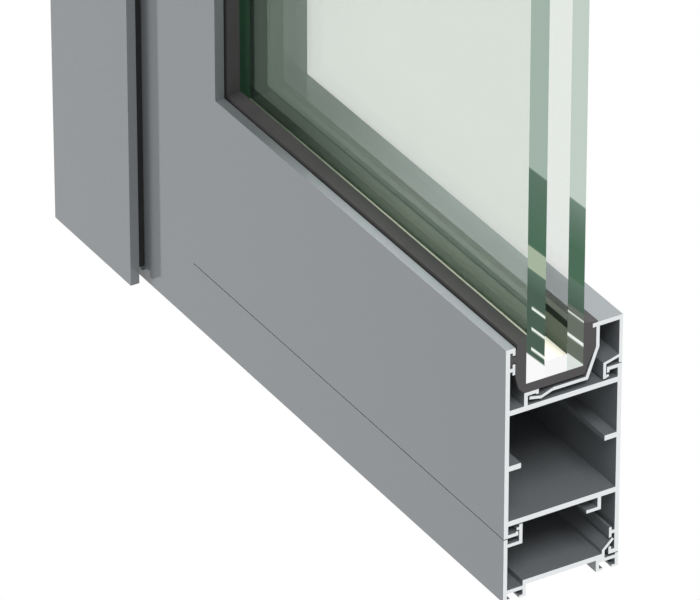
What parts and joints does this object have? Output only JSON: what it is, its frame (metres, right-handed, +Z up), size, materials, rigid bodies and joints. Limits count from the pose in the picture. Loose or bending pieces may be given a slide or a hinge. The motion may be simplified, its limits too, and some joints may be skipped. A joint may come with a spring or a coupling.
{
  "type": "casement door corner section",
  "caption": "Bottom hinge-side corner of a glazed aluminium casement door, cut open at the right and the top: jamb, hinged leaf corner, double glazing, bead and bottom closer.",
  "frame": {"origin": "front region of the foot of the jamb's flat outer face, where it meets the wall; Y zero is the leaf's front face", "axes": "+X along the door from the wall to the cut, +Y from the front to the back and the way the leaf opens, +Z up"},
  "size_m": [0.3273, 0.0778, 0.41],
  "materials": {
    "frame_finish": "smooth satin grey powder coat",
    "leaf_finish": "smooth satin grey powder coat, bright where sawn",
    "seal_rubber": "matt black",
    "gasket_rubber": "matt dark grey",
    "clear_glass": "clear float, greenish at the edges",
    "spacer_white": "matt off-white",
    "spacer_dark": "matt dark green",
    "sealant": "matt white",
    "block_plastic": "matt",
    "cleat_metal": "mill finish",
    "screw_steel": "stainless",
    "plate_steel": "zinc plated",
    "hinge_finish": "smooth satin grey powder coat",
    "washer_nylon": "matt black"
  },
  "bodies": {
    "frame": {"jamb_profile": "frame_finish", "frame_seal": "seal_rubber", "hinge_frame_plate": "hinge_finish", "hinge_pin": "screw_steel", "hinge_washers": "washer_nylon", "hinge_cap_upper": "hinge_finish", "hinge_cap_lower": "hinge_finish", "nut_plate_frame": "plate_steel", "hinge_frame_screws": "screw_steel"},
    "leaf": {"hinge_stile": "leaf_finish", "bottom_rail": "leaf_finish", "bottom_closer": "leaf_finish", "bead_bottom": "leaf_finish", "bead_side": "leaf_finish", "gasket_bottom": "gasket_rubber", "gasket_side": "gasket_rubber", "pane_front": "clear_glass", "pane_back": "clear_glass", "spacer_bottom": "spacer_white", "spacer_side": "spacer_dark", "edge_sealant": "sealant", "setting_block": "block_plastic", "corner_cleat": "cleat_metal", "cleat_screws": "screw_steel", "hinge_leaf_plate": "hinge_finish", "nut_plate_leaf": "plate_steel", "hinge_leaf_screws": "screw_steel"}
  },
  "joints": [
    {"name": "leaf_swing", "type": "hinge", "parent": "frame", "child": "leaf", "pos_m": [0.0405, 0.063, 0.2365], "axis": [0, 0, 1], "range_deg": [0, 100]}
  ]
}
